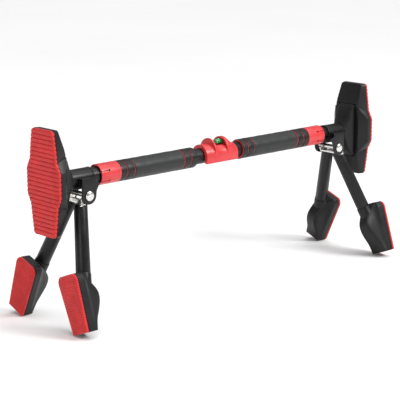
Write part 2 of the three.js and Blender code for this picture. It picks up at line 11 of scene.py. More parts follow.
import bmesh
import bpy
from mathutils import Matrix, Vector


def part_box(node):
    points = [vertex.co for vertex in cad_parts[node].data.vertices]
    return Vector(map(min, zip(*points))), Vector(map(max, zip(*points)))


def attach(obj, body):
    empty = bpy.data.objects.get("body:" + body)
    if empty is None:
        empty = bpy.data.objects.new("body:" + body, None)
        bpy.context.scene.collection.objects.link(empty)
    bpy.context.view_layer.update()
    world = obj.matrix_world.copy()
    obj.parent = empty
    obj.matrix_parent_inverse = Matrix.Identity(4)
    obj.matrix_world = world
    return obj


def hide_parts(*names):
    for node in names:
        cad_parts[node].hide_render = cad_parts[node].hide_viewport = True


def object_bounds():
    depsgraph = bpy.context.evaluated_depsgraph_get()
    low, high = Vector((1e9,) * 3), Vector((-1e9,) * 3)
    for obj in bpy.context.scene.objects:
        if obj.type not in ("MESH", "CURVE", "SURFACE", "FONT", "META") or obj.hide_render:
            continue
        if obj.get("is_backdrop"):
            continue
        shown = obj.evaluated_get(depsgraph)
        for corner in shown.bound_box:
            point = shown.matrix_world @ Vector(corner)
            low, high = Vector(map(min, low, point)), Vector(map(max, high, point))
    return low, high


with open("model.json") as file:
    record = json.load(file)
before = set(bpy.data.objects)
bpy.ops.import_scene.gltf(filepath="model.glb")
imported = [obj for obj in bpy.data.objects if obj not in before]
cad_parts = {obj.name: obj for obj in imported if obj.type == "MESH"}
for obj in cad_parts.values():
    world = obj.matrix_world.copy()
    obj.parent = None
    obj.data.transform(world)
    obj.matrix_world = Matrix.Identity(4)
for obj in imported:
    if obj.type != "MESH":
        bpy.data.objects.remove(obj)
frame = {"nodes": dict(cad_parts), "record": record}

MM = 0.001
cad_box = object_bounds()
core_low, core_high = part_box("core_tube")
AXIS_Z = (core_low.z + core_high.z) / 2
AXIS = Vector((0, 0, AXIS_Z))
SIDES = (("left", -1), ("right", 1))
print("bar axis at", round(AXIS_Z, 4), "m, box", [round(float(v), 3) for v in list(cad_box[1])])

# %% [markdown]
# ## Finishes
# Every finish starts from what the real surface is. Colours are ordinary sRGB hex values, and one
# function turns them into the linear values that a shader works with. Patterns are worked out from
# a real size: a noise texture with scale 1 / size draws blotches of about that size.


# %% Colour and node helpers
def linear(code):
    """A colour such as '#C81E22' as linear red, green, blue and alpha."""
    values = [int(code[k:k + 2], 16) / 255 for k in (1, 3, 5)]
    return [v / 12.92 if v <= 0.04045 else ((v + 0.055) / 1.055) ** 2.4 for v in values] + [1.0]


def add_node(tree, kind, values=None, links=None, **settings):
    """One node with its settings, its socket values and its incoming links."""
    node = tree.nodes.new(kind)
    for name, value in settings.items():
        setattr(node, name, value)
    for name, value in (values or {}).items():
        node.inputs[name].default_value = value
    for name, source in (links or {}).items():
        tree.links.new(source, node.inputs[name])
    return node


def start_finish(name, **sockets):
    """A material with its shader, and the place on the piece in metres."""
    material = bpy.data.materials.new(name)
    material.use_nodes = True
    tree = material.node_tree
    shader = tree.nodes["Principled BSDF"]
    for socket, value in sockets.items():
        shader.inputs[socket.replace("_", " ")].default_value = value
    place = add_node(tree, "ShaderNodeTexCoord").outputs["Object"]
    return material, tree, shader, place


def blotches(tree, place, size_mm, detail=3.0, stretch=(1, 1, 1)):
    """Soft noise whose features are about size_mm across."""
    scaled = add_node(tree, "ShaderNodeMapping", {"Scale": stretch}, {"Vector": place})
    return add_node(
        tree, "ShaderNodeTexNoise", {"Scale": 1 / (size_mm * MM), "Detail": detail, "Roughness": 0.6},
        {"Vector": scaled.outputs["Vector"]},
    ).outputs["Fac"]


def spread(tree, source, low, high, start=0.3, end=0.7):
    """Noise between start and end, stretched to run from low to high."""
    return add_node(
        tree, "ShaderNodeMapRange",
        {"From Min": start, "From Max": end, "To Min": low, "To Max": high}, {"Value": source},
    ).outputs["Result"]


def two_tone(tree, shader, amount, dark, light):
    """The base colour runs from dark to light with amount."""
    ramp = add_node(tree, "ShaderNodeValToRGB", None, {"Fac": amount})
    ramp.color_ramp.elements[0].color = linear(dark)
    ramp.color_ramp.elements[1].color = linear(light)
    tree.links.new(ramp.outputs["Color"], shader.inputs["Base Color"])


def relief(tree, shader, height, depth_mm, strength=1.0):
    """Fine relief of the given depth."""
    bump = add_node(
        tree, "ShaderNodeBump", {"Strength": strength, "Distance": depth_mm * MM}, {"Height": height})
    tree.links.new(bump.outputs["Normal"], shader.inputs["Normal"])


# %% [markdown]
# ### Powder-coated steel
# The tubes, legs and brackets are steel with a black powder coat. The powder melts into a skin with a
# faint orange peel about 1.5 mm from crest to crest, so highlights on it are soft and slightly broken.
# The black finishes reflect less than the default, because the pits of their texture swallow some light.


# %% Powder coat
def powder_coated_steel():
    material, tree, shader, place = start_finish(
        "powder_coated_steel", Roughness=0.34, Specular_IOR_Level=0.32)
    peel = blotches(tree, place, 1.5, 2.0)
    haze = blotches(tree, place, 24.0)
    two_tone(tree, shader, spread(tree, haze, 0, 1), "#09090A", "#111113")
    tree.links.new(spread(tree, haze, 0.3, 0.44), shader.inputs["Roughness"])
    relief(tree, shader, peel, 0.05)
    return material


# %% [markdown]
# ### Moulded ABS and nylon
# The wall shells, the cones behind them and the feet are moulded black plastic with a fine spark-eroded
# grain. Real grain is about 0.3 mm across, which is too fine to show here, so it is drawn at 0.8 mm.


# %% Black moulded plastic
def grained_black_abs():
    material, tree, shader, place = start_finish(
        "grained_black_abs", Roughness=0.42, IOR=1.53, Specular_IOR_Level=0.3)
    grain = add_node(tree, "ShaderNodeTexVoronoi", {"Scale": 1 / (0.8 * MM)}, {"Vector": place})
    flow = blotches(tree, place, 35.0)
    two_tone(tree, shader, spread(tree, flow, 0, 1), "#0B0B0C", "#141416")
    tree.links.new(spread(tree, flow, 0.36, 0.5), shader.inputs["Roughness"])
    relief(tree, shader, grain.outputs["Distance"], 0.04, 0.6)
    return material


# %% [markdown]
# ### Red ABS
# The locking collars, the trim sleeves and the lock body are glossy red ABS. It is a little translucent,
# which softens its shadows, and handling leaves the gloss uneven.


# %% Red gloss plastic
def gloss_red_abs():
    material, tree, shader, place = start_finish(
        "gloss_red_abs", Roughness=0.34, IOR=1.53, Subsurface_Weight=0.08, Subsurface_Scale=0.002)
    shader.inputs["Subsurface Radius"].default_value = (1.0, 0.25, 0.15)
    flow = blotches(tree, place, 18.0)
    two_tone(tree, shader, spread(tree, flow, 0, 1), "#C82A2E", "#D6383C")
    tree.links.new(spread(tree, blotches(tree, place, 6.0), 0.26, 0.42), shader.inputs["Roughness"])
    relief(tree, shader, blotches(tree, place, 2.2, 2.0), 0.03, 0.6)
    return material


# %% [markdown]
# ### TPR, the soft rubber of the pads
# The wall pads and foot pads are thermoplastic rubber: matt, slightly powdery, with dust and wear that
# lighten the crests of the ribs.


# %% Red rubber
def red_tpr():
    material, tree, shader, place = start_finish(
        "red_tpr", Roughness=0.62, IOR=1.48, Sheen_Weight=0.12, Sheen_Roughness=0.5)
    cloud = blotches(tree, place, 26.0)
    two_tone(tree, shader, spread(tree, cloud, 0, 1), "#C0181A", "#D62022")
    tree.links.new(spread(tree, blotches(tree, place, 9.0), 0.52, 0.72), shader.inputs["Roughness"])
    relief(tree, shader, blotches(tree, place, 1.6, 3.0), 0.03, 0.3)
    return material


# %% [markdown]
# ### NBR foam
# The long grips are closed-cell nitrile foam, cut and ground to size. The cut cells leave a dull surface
# of pits about half a millimetre wide, drawn here at 1.2 mm so that they show.


# %% Foam and band rubber
def nbr_foam():
    material, tree, shader, place = start_finish(
        "nbr_foam", Roughness=0.46, IOR=1.45, Sheen_Weight=0.04, Sheen_Roughness=0.6)
    cells = add_node(tree, "ShaderNodeTexVoronoi", {"Scale": 1 / (1.2 * MM)}, {"Vector": place})
    cloud = blotches(tree, place, 14.0, 5.0)
    two_tone(tree, shader, spread(tree, cloud, 0, 1), "#111213", "#1B1C1E")
    tree.links.new(spread(tree, cloud, 0.4, 0.52), shader.inputs["Roughness"])
    relief(tree, shader, cells.outputs["Distance"], 0.08, 0.4)
    return material


def satin_black_rubber():
    material, tree, shader, place = start_finish(
        "satin_black_rubber", Roughness=0.4, IOR=1.5, Specular_IOR_Level=0.35)
    cloud = blotches(tree, place, 12.0)
    two_tone(tree, shader, spread(tree, cloud, 0, 1), "#0F1011", "#18191B")
    tree.links.new(spread(tree, cloud, 0.32, 0.46), shader.inputs["Roughness"])
    relief(tree, shader, blotches(tree, place, 1.2, 2.0), 0.04, 0.6)
    return material


# %% [markdown]
# ### Plated steel
# The pivot bolts and the bent plate between the bracket's ears are chrome plated. Plating is bright, with
# drawing lines along the sheet, and a metal keeps the shader's default IOR.


# %% Chrome and zinc
def chrome_plate():
    material, tree, shader, place = start_finish("chrome_plate", Metallic=1.0, Roughness=0.16)
    cloud = blotches(tree, place, 5.0)
    lines = blotches(tree, place, 0.8, 2.0, (0.06, 1, 1))
    two_tone(tree, shader, spread(tree, cloud, 0, 1), "#C9C6C0", "#EDECEA")
    tree.links.new(spread(tree, lines, 0.1, 0.26), shader.inputs["Roughness"])
    relief(tree, shader, lines, 0.02, 0.5)
    return material


def zinc_plate():
    material, tree, shader, place = start_finish("zinc_plate", Metallic=1.0, Roughness=0.34)
    cloud = blotches(tree, place, 3.0)
    two_tone(tree, shader, spread(tree, cloud, 0, 1), "#9C9A94", "#C4C2BC")
    tree.links.new(spread(tree, cloud, 0.28, 0.45), shader.inputs["Roughness"])
    return material


# %% [markdown]
# ### Acrylic vial
# The level's vial is clear acrylic filled with green spirit. The bubble is a pale patch at its top, and
# two black rings mark where it sits when the bar is level.


# %% Vial finishes
def green_spirit():
    material, tree, shader, place = start_finish(
        "green_spirit", Roughness=0.08, IOR=1.49, Coat_Weight=0.6, Coat_Roughness=0.05)
    depth = blotches(tree, place, 9.0, 1.0)
    two_tone(tree, shader, spread(tree, depth, 0, 1), "#1C7A3E", "#3FB768")
    return material


def pale_bubble():
    material, tree, shader, place = start_finish("pale_bubble", Roughness=0.1, IOR=1.33)
    two_tone(tree, shader, spread(tree, blotches(tree, place, 3.0), 0, 1), "#7FD79A", "#B9F0C8")
    return material


POWDER = powder_coated_steel()
ABS = grained_black_abs()
RED = gloss_red_abs()
PAD = red_tpr()
FOAM = nbr_foam()
BAND = satin_black_rubber()
CHROME = chrome_plate()
ZINC = zinc_plate()
SPIRIT = green_spirit()
BUBBLE = pale_bubble()
print("finishes:", len(bpy.data.materials))

# %% [markdown]
# ## Tools for shapes
# A piece is built as a bmesh, turned into an object, given its finish and tied to the body that it moves
# with, and the plain solid in the measured model that it stands for is hidden.

# %% Bodies, slots and the piece helper
BODY_OF = {n: body for body, nodes in frame["record"]["behaviour"]["bodies"].items() for n in nodes}
SLOT_OF = {s["node"]: s["material_slot"] for s in frame["record"]["subparts"]}


def to_object(name, mesh):
    """A plain object in the scene from a bmesh, with its faces turned outward."""
    bmesh.ops.recalc_face_normals(mesh, faces=mesh.faces)
    data = bpy.data.meshes.new(name)
    mesh.to_mesh(data)
    mesh.free()
    thing = bpy.data.objects.new(name, data)
    bpy.context.scene.collection.objects.link(thing)
    return thing


def extra(name, mesh, finish, body, slot_name, smooth=35.0):
    """A finished object that moves with a body."""
    thing = to_object(name, mesh)
    thing.data.materials.append(finish)
    thing.data.shade_smooth()
    thing.data.set_sharp_from_angle(angle=math.radians(smooth))
    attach(thing, body)
    return thing


def piece(name, mesh, finish, node, smooth=35.0):
    """A finished object that stands for one node of the measured model."""
    thing = extra(name, mesh, finish, BODY_OF[node], SLOT_OF[node], smooth)
    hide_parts(node)
    return thing


def skin(rings, closed=False, caps=True):
    """A bmesh skinned over equal rings of points, with its ends capped or joined into a loop."""
    mesh = bmesh.new()
    rows = [[mesh.verts.new(p) for p in ring] for ring in rings]
    count = len(rows[0])
    pairs = list(zip(rows, rows[1:])) + ([(rows[-1], rows[0])] if closed else [])
    for near, far in pairs:
        for k in range(count):
            mesh.faces.new((near[k], near[(k + 1) % count], far[(k + 1) % count], far[k]))
    if caps and not closed:
        mesh.faces.new(rows[0])
        mesh.faces.new(list(reversed(rows[-1])))
    return mesh


def softened(outline, steps=4):
    """A closed list of (x, radius, rounding) in millimetres with its corners rounded off."""
    points = []
    for k, (x, r, rounding) in enumerate(outline):
        corner = Vector((x, r))
        before = Vector(outline[k - 1][:2]) - corner
        after = Vector(outline[(k + 1) % len(outline)][:2]) - corner
        reach = min(rounding, before.length * 0.49, after.length * 0.49)
        if reach < 0.01:
            points.append(corner)
            continue
        start = corner + before.normalized() * reach
        end = corner + after.normalized() * reach
        for i in range(steps + 1):
            t = i / steps
            points.append(start * (1 - t) ** 2 + corner * 2 * t * (1 - t) + end * t * t)
    return points


def turned(outline, steps=72):
    """A bmesh turned about the bar's axis from a closed outline of (x, radius, rounding) in mm."""
    points = softened(outline)
    rings = []
    for i in range(steps):
        angle = 2 * math.pi * i / steps
        rings.append([
            Vector((p.x * MM, p.y * MM * math.cos(angle), AXIS_Z + p.y * MM * math.sin(angle)))
            for p in points
        ])
    return skin(rings, closed=True)


def span(node):
    """Where a node starts and ends along the bar, in mm from the middle, always positive."""
    low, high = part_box(node)
    ends = sorted((abs(low.x), abs(high.x)))
    return ends[0] / MM, ends[1] / MM


def outer_radius(node):
    low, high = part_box(node)
    return (high.z - low.z) / 2 / MM


def mirrored_outline(outline, side):
    return [(side * x, r, rounding) for x, r, rounding in outline]


# %% [markdown]
# ## Turned pieces of the bar
# Tubes, sleeves, bands and grips are all turned shapes. Their corners are rounded in the outline itself,
# since a real edge always catches a thin line of light.

# %% Tubes
SLEEVE_BORE = 15.9
SLEEVE_LIP = 0.5
TUBE_WALLS = (("screw_tube", 2.0), ("grip_tube", 1.5))
CORE_WALL = 2.0
low_x, high_x = core_low.x / MM, core_high.x / MM
core_r = outer_radius("core_tube")
piece("core_tube_finished", turned([
    (low_x, core_r - CORE_WALL, 0.3), (low_x, core_r, 0.5),
    (high_x, core_r, 0.5), (high_x, core_r - CORE_WALL, 0.3),
]), POWDER, "core_tube")

for side_name, side in SIDES:
    for kind, wall in TUBE_WALLS:
        node = f"{side_name}_{kind}"
        start, end = span(node)
        r = outer_radius(node)
        piece(f"{node}_finished", turned(mirrored_outline([
            (start, r - wall, 0.2), (start, r, 0.4), (end, r, 0.4), (end, r - wall, 0.2),
        ], side)), POWDER, node)
    node = f"{side_name}_end_sleeve"
    start, end = span(node)
    lip = outer_radius(node)
    r = lip - SLEEVE_LIP
    piece(f"{node}_finished", turned(mirrored_outline([
        (start, SLEEVE_BORE, 0.3), (start, lip, 0.6), (start + 1.8, lip, 0.5), (start + 2.3, r - 0.35, 0.2),
        (start + 2.8, r, 0.3), (end, r, 0.4), (end, SLEEVE_BORE, 0.2),
    ], side)), POWDER, node)

# %% [markdown]
# The foam grip is the long soft sleeve. Foam is never perfectly round or straight after it has been
# pushed onto a tube, so its skin wanders by a fraction of a millimetre, and its ends are crowned.


# %% Foam grips
GRIP_RADIUS = 20.0
GRIP_BORE = 17.8


def foam_sleeve(start, end, radius, bore, side):
    """A foam sleeve whose skin swells and dips a little along and around it."""
    rows = 90
    around = 96
    outer = []
    for k in range(rows + 1):
        t = k / rows
        x = start + (end - start) * t
        edge = min(x - start, end - x)
        crown = 1.1 * math.exp(-edge / 0.9)
        ring = []
        for i in range(around):
            angle = 2 * math.pi * i / around
            wander = 0.10 * math.sin(9 * t * math.pi + 1.3 * math.sin(angle + side))
            wander += 0.07 * math.sin(3 * angle + 14 * t)
            r = radius - 0.17 - crown + wander
            ring.append(Vector((side * x, r * math.cos(angle), r * math.sin(angle))) * MM + AXIS)
        outer.append(ring)
    inner = [
        [Vector((side * x, bore * math.cos(2 * math.pi * i / around),
                 bore * math.sin(2 * math.pi * i / around))) * MM + AXIS for i in range(around)]
        for x in (end, start)
    ]
    return skin(outer + inner, closed=True)


for side_name, side in SIDES:
    node = f"{side_name}_foam_grip"
    start, end = span(node)
    grip = piece(f"{node}_finished", foam_sleeve(start, end, GRIP_RADIUS, GRIP_BORE, side), FOAM, node)
print("foam grips are", round(end - start, 1), "mm long")

# %% [markdown]
# On both sides of the foam lie smooth dark bands, parted by thin red ribs of a red trim sleeve under them.

# %% Bands and trim sleeves
TRIM_RADIUS = 18.5
RIB_RADIUS = 19.1
RIB_WIDTH = 1.2
RIB_CREST = 0.8


def rib(centre):
    """The raised rib of a trim sleeve: four corners of its outline."""
    half = RIB_CREST / 2
    return [(centre - half, TRIM_RADIUS, 0.1), (centre - half, RIB_RADIUS, 0.35),
            (centre + half, RIB_RADIUS, 0.35), (centre + half, TRIM_RADIUS, 0.1)]


for side_name, side in SIDES:
    for kind in ("inner_end_band", "inner_middle_band", "outer_middle_band", "outer_end_band"):
        node = f"{side_name}_{kind}"
        start, end = span(node)
        bore = TRIM_RADIUS + 0.3
        middle = (start + end) / 2
        piece(f"{node}_finished", turned(mirrored_outline([
            (start, bore, 0.1), (start, 19.92, 0.7), (middle, 20.0, 3.0), (end, 19.92, 0.7), (end, bore, 0.1),
        ], side)), BAND, node)
    start, end = span(f"{side_name}_inner_trim_sleeve")
    ribs = [
        (span(f"{side_name}_inner_end_band")[1] + span(f"{side_name}_inner_middle_band")[0]) / 2,
        end - RIB_WIDTH / 2,
    ]
    outline = [(start, 16.0, 0.2), (start, TRIM_RADIUS - 0.1, 0.3)] + rib(ribs[0])
    outline += rib(ribs[1])[:3] + [(end, 17.7, 0.1), (start + 1.8, 17.7, 0.1), (start + 1.8, 16.0, 0.1)]
    piece(f"{side_name}_inner_trim_finished", turned(mirrored_outline(outline, side)), RED,
          f"{side_name}_inner_trim_sleeve")
    start, end = span(f"{side_name}_outer_trim_sleeve")
    middle_rib = (span(f"{side_name}_outer_middle_band")[1]
                  + span(f"{side_name}_outer_end_band")[0]) / 2
    outline = [(start, 17.7, 0.1)] + rib(start + RIB_WIDTH / 2)[1:] + rib(middle_rib)
    outline += [(end, TRIM_RADIUS, 0.1), (end, 17.7, 0.1)]
    piece(f"{side_name}_outer_trim_finished", turned(mirrored_outline(outline, side)), RED,
          f"{side_name}_outer_trim_sleeve")

# %% [markdown]
# ## Locking collars
# Each collar is a moulded cup. Six slits run in from its open end, and each ends in a small round
# hole, so that the strip between two slits can spring. The slits are cut with a boolean, the way a
# machinist would mill them from the finished tube.


# %% Boolean helpers
def solved(thing, steps):
    """The bmesh that a loose object becomes after its modifiers. The loose objects are removed."""
    for kind, settings in steps:
        modifier = thing.modifiers.new(kind, kind)
        for name, value in settings.items():
            setattr(modifier, name, value)
    bpy.context.view_layer.update()
    evaluated = thing.evaluated_get(bpy.context.evaluated_depsgraph_get())
    data = bpy.data.meshes.new_from_object(evaluated)
    mesh = bmesh.new()
    mesh.from_mesh(data)
    cutters = [settings["object"] for _, settings in steps if "object" in settings]
    bpy.data.meshes.remove(data)
    for used in {thing, *cutters}:
        bpy.data.objects.remove(used)
    return mesh


def joined(meshes):
    """Several bmeshes as one."""
    whole = bmesh.new()
    for part in meshes:
        data = bpy.data.meshes.new("part")
        part.to_mesh(data)
        part.free()
        whole.from_mesh(data)
        bpy.data.meshes.remove(data)
    return whole


def box_mesh(x0, x1, y0, y1, z0, z1):
    """A box in millimetres about the bar's axis, as six faces."""
    ring = [(y0, z0), (y1, z0), (y1, z1), (y0, z1)]
    rings = [[Vector((x, y, z)) * MM + AXIS for y, z in ring] for x in (x0, x1)]
    return skin(rings)


def spun(mesh, angle):
    """The mesh turned about the bar's axis by angle degrees."""
    bmesh.ops.rotate(mesh, verts=mesh.verts, cent=AXIS, matrix=Matrix.Rotation(math.radians(angle), 3, "X"))
    return mesh


def peg(x, radius, inner, outer, sides=16):
    """A round peg that points up from the bar's axis at x."""
    turns = [2 * math.pi * k / sides for k in range(sides)]
    rings = [[
        Vector((x + radius * math.cos(a), radius * math.sin(a), z)) * MM + AXIS for a in turns
    ] for z in (inner, outer)]
    return skin(rings)


# %% Collars
SLIT_DEPTH = 19.0
SLIT_HALF_WIDTH = 0.7
SLIT_HOLE_RADIUS = 2.3
CUT_INNER, CUT_OUTER = 12, 24
NUT_SEAT = 284
NUT_BORE = 15.85
NUT_ROOM = 18.25
SLIT_TURNS = [60 * k - 3 for k in range(6)]

for side_name, side in SIDES:
    node = f"{side_name}_locking_collar"
    start, end = span(node)
    body = to_object("collar_blank", turned(mirrored_outline([
        (start, GRIP_BORE, 0.1), (start, GRIP_RADIUS, 0.7), (end, GRIP_RADIUS, 0.7), (end, NUT_ROOM, 0.4),
        (NUT_SEAT, NUT_ROOM, 0.1), (NUT_SEAT, GRIP_BORE, 0.1),
    ], side), 96))
    cuts = []
    for turn in SLIT_TURNS:
        x0, x1 = sorted((side * (end - SLIT_DEPTH), side * (end + 1)))
        slit = box_mesh(x0, x1, -SLIT_HALF_WIDTH, SLIT_HALF_WIDTH, CUT_INNER, CUT_OUTER)
        hole = peg(side * (end - SLIT_DEPTH), SLIT_HOLE_RADIUS, CUT_INNER, CUT_OUTER)
        cuts.append(spun(slit, turn * side))
        cuts.append(spun(hole, turn * side))
    cutter = to_object("collar_cuts", joined(cuts))
    steps = [("BOOLEAN", {"object": cutter, "operation": "DIFFERENCE", "solver": "EXACT",
                          "use_self": True})]
    piece(f"{node}_finished", solved(body, steps), RED, node)
    node = f"{side_name}_collar_nut"
    start, end = span(node)
    piece(f"{node}_finished", turned(mirrored_outline([
        (start, NUT_BORE, 0.3), (start, 18.0, 0.3), (end, 18.0, 0.8), (end, NUT_BORE, 0.8),
    ], side)), RED, node)
print("collars cut")

# %% [markdown]
# ## Pads
# A pad is a thick rubber plate with ribs across it. It is built row by row down its length: every row
# runs from the back edge, over the bevelled rim, across the face and back, and the face height rises
# and falls with the ribs.


# %% Ribbed pad
def half_width(outline, v):
    """Half the pad's width at distance v along it, from a list of (v, half width)."""
    for (v0, w0), (v1, w1) in zip(outline, outline[1:]):
        if v0 <= v <= v1:
            return w0 + (w1 - w0) * (v - v0) / max(v1 - v0, 1e-9)
    return outline[-1][1] if v > outline[-1][0] else outline[0][1]


def ribbed_pad(outline, back, face, bevel, pitch, depth, to_world):
    """Rows of points over a pad. to_world turns (x, across, along) in mm into the model's frame."""
    start, end = outline[0][0], outline[-1][0]
    inner = end - start - 2 * bevel
    ribs = round(inner / pitch)
    step = inner / ribs
    rows = [(start + t * bevel, 1.0) for t in (0, 0.15, 0.5)]
    # Across one rib: (part of the pitch, depth of the groove there).
    profile = ((0.0, 1.0), (0.1, 1.0), (0.2, 0.12), (0.28, 0.0), (0.55, 0.0), (0.84, 0.06), (0.93, 0.6))
    for k in range(ribs):
        rows += [(start + bevel + step * (k + t), low) for t, low in profile]
    rows += [(end - t * bevel, 1.0) for t in (1.0, 0.5, 0.15, 0)]
    mesh_rows = []
    for v, low in rows:
        edge = min(v - start, end - v)
        rim_drop = bevel * (1 - math.sqrt(max(0.0, 1 - (1 - min(edge / bevel, 1)) ** 2)))
        w = half_width(outline, v) - 0.7 * low * depth
        top = face - rim_drop
        groove = low * depth
        across = [(back, w), (min(face - bevel, top), w), (min(face - 0.45 * bevel, top), w - 0.25 * bevel)]
        across += [(min(face - 0.12 * bevel, top) - 0.8 * groove, w - 0.62 * bevel)]
        across += [(min(top, face - groove), w - 1.05 * bevel)]
        across += [(min(top, face - groove), (w - 1.1 * bevel) * s) for s in (0.6, 0.2)]
        ring = [to_world(x, a, v) for x, a in across]
        ring += [to_world(x, -a, v) for x, a in reversed(across)]
        mesh_rows.append(ring)
    return skin(mesh_rows)


# %% Wall pads
PLATE_RISE = 1.8
RIB_PITCH = 8.1
RIB_DEPTH = 1.8
PAD_BEVEL = 1.6
WALL_OUTLINE = [(-98.0, 26.0), (-96.8, 29.8), (-94.5, 31.3), (-92, 32.0), (-62, 36.4), (-41.7, 38.9),
                (-38.5, 40.6), (-25.4, 47.6), (-22.4, 48.6)]
WALL_OUTLINE += [(-v, w) for v, w in reversed(WALL_OUTLINE)]

for side_name, side in SIDES:
    node = f"{side_name}_wall_pad"
    start, end = span(node)

    def on_wall(x, across, along, side=side):
        return Vector((side * x, side * across, along + PLATE_RISE)) * MM + AXIS

    outline = [(v * 0.994, w - 0.5) for v, w in WALL_OUTLINE]
    shape = ribbed_pad(outline, start, end, PAD_BEVEL, RIB_PITCH, RIB_DEPTH, on_wall)
    pad = piece(f"{node}_finished", shape, PAD, node, 28)
print("wall pads:", len(pad.data.polygons), "faces each")

# %% [markdown]
# ## Legs and feet
# Each leg leans in two ways: sideways from the bar, and outward to the wall. It is easiest to draw a leg
# in its own flat plane, where x runs outward and s runs down the leg, and to swing that plane sideways
# at the end.

# %% The splayed plane
SPLAY = math.radians(21.4)
LEG_TILT = math.radians(14.6)
LEG_OFFSET = -1.8
LEG_JOINT = (380.3, 171.0)
LEG_TOP_REACH = 40

# The leg tops stay below the yoke between the bracket's ears, and below the ears outside of them.
EAR_INNER = 24.6
UNDER_YOKE = -42.9
UNDER_EARS = -46.2
LEG_TOP_RADIUS = 12.5
LEG_END_RADIUS = 13.5
LEG_BORE = 10.1
SOCKET_RADIUS = 12.5
SOCKET_DEPTH = 26
NECK_BORE = 12.8
CREASE_ANGLE = math.radians(38)
CREASE = 0.93
FOOT_PITCH = 4.2
FOOT_RIB_DEPTH = 1.3
FOOT_BEVEL = 1.4
TRIM_X, TRIM_Y, TRIM_TOP = 430, 95, 30


def splayed(side, sway):
    """A function from (x, across, s) in mm in a leg's plane to the model's frame."""
    def place(x, across, s):
        y = across + LEG_OFFSET
        flat = Vector((x, sway * (y * math.cos(SPLAY) + s * math.sin(SPLAY)),
                       y * math.sin(SPLAY) - s * math.cos(SPLAY)))
        return Vector((side * flat.x, flat.y, flat.z)) * MM + AXIS
    return place


def leg_ring(place, along, radius, steps=48):
    """A ring about the leg's own axis, along mm past the joint with the foot."""
    x0 = LEG_JOINT[0] + along * math.sin(LEG_TILT)
    s0 = LEG_JOINT[1] + along * math.cos(LEG_TILT)
    ring = []
    for k in range(steps):
        a = 2 * math.pi * k / steps
        ring.append(place(x0 + radius * math.cos(a) * math.cos(LEG_TILT), radius * math.sin(a),
                          s0 - radius * math.cos(a) * math.sin(LEG_TILT)))
    return ring


def foot_shell(place):
    """The foot: a plate behind the pad with a hump that takes the leg."""
    sections = [
        (167, 19.5, 398.5, 17), (168.6, 22.6, 396.5, 18), (173, 26.2, 391, 17.5), (179, 28, 384, 15),
        (190, 27.3, 375.5, 13.8), (202, 26.6, 367, 13.5), (212, 25.9, 363.8, 13.6),
        (226, 25, 366.6, 14.6), (241, 24.1, 375, 15.8), (258, 23, 385.8, 17.6), (275, 22, 392.8, 20.6),
    ]
    front, base = 414.5, 399.0
    rings = []
    for s, half, back, back_half in sections:
        drop = base - back
        right = [(front, half), (base + 1, half - 1.3), (base - 0.6, half - 1.9),
                 (base - 0.25 * drop, back_half + 0.42 * (half - back_half)),
                 (base - 0.62 * drop, back_half + 0.16 * (half - back_half)),
                 (back + 0.12 * drop + 0.3, back_half - 0.4), (back, back_half - 3.2)]
        ring = [place(x, a, s) for x, a in right] + [place(x, -a, s) for x, a in reversed(right)]
        rings.append(ring)
    return skin(rings)


for side_name, side in SIDES:
    for fore_name, sway in (("front", -1), ("rear", 1)):
        place = splayed(side, sway)
        node = f"{side_name}_{fore_name}_foot"
        hump = foot_shell(place)
        bmesh.ops.recalc_face_normals(hump, faces=hump.faces)
        crease = hump.edges.layers.float.new("crease_edge")
        for edge in hump.edges:
            if edge.calc_face_angle(0) > CREASE_ANGLE:
                edge[crease] = CREASE
        neck = skin([leg_ring(place, a, r) for a, r in ((0, 13.2), (0.25, 14.1), (2.0, 14.4), (30, 14.6))])
        bore = skin([leg_ring(place, a, NECK_BORE) for a in (-3, SOCKET_DEPTH + 1)])
        steps = [
            ("SUBSURF", {"levels": 3, "render_levels": 3}),
            ("BOOLEAN", {"object": to_object("neck", neck), "operation": "UNION", "solver": "EXACT"}),
            ("BOOLEAN", {"object": to_object("bore", bore), "operation": "DIFFERENCE", "solver": "EXACT"}),
        ]
        piece(f"{node}_finished", solved(to_object("foot_cage", hump), steps), ABS, node, 38)

        node = f"{side_name}_{fore_name}_leg"
        top = -(LEG_JOINT[1] - LEG_TOP_REACH) / math.cos(LEG_TILT)
        outer = [leg_ring(place, a, r) for a, r in (
            (top, LEG_TOP_RADIUS), (-0.9, LEG_END_RADIUS), (-0.3, LEG_END_RADIUS - 0.3))]
        inner = [leg_ring(place, a, r) for a, r in (
            (-0.3, SOCKET_RADIUS), (SOCKET_DEPTH, SOCKET_RADIUS), (SOCKET_DEPTH, LEG_BORE), (top, LEG_BORE))]
        tube = to_object("leg_blank", skin(outer + inner, closed=True))
        trim = joined([
            box_mesh(-TRIM_X, TRIM_X, y0, y1, z0, TRIM_TOP) for y0, y1, z0 in (
                (-EAR_INNER, EAR_INNER, UNDER_YOKE),
                (EAR_INNER, TRIM_Y, UNDER_EARS),
                (-TRIM_Y, -EAR_INNER, UNDER_EARS))
        ])
        yard = to_object("leg_trim", trim)
        steps = [("BOOLEAN", {"object": yard, "operation": "DIFFERENCE", "solver": "EXACT",
                              "use_self": True})]
        piece(f"{node}_finished", solved(tube, steps), POWDER, node)

        node = f"{side_name}_{fore_name}_foot_pad"
        start, end = span(node)
        outline = [(167.4, 18.2), (168.2, 21.0), (172.4, 24.9), (176.4, 27.0), (179.6, 27.6), (190, 26.9),
                   (226, 24.6), (274.6, 21.6)]
        pad = piece(f"{node}_finished", ribbed_pad(
            outline, start, end, FOOT_BEVEL, FOOT_PITCH, FOOT_RIB_DEPTH, place), PAD, node, 28)
print("legs and feet made")

# %% [markdown]
# ## Pieces that keep their measured shape
# Shells, cones, brackets, bolts and the bent plates already have the right shape. Each gets a copy whose
# flat facets are merged and whose edges are rounded, because a sharp edge never shows a highlight.


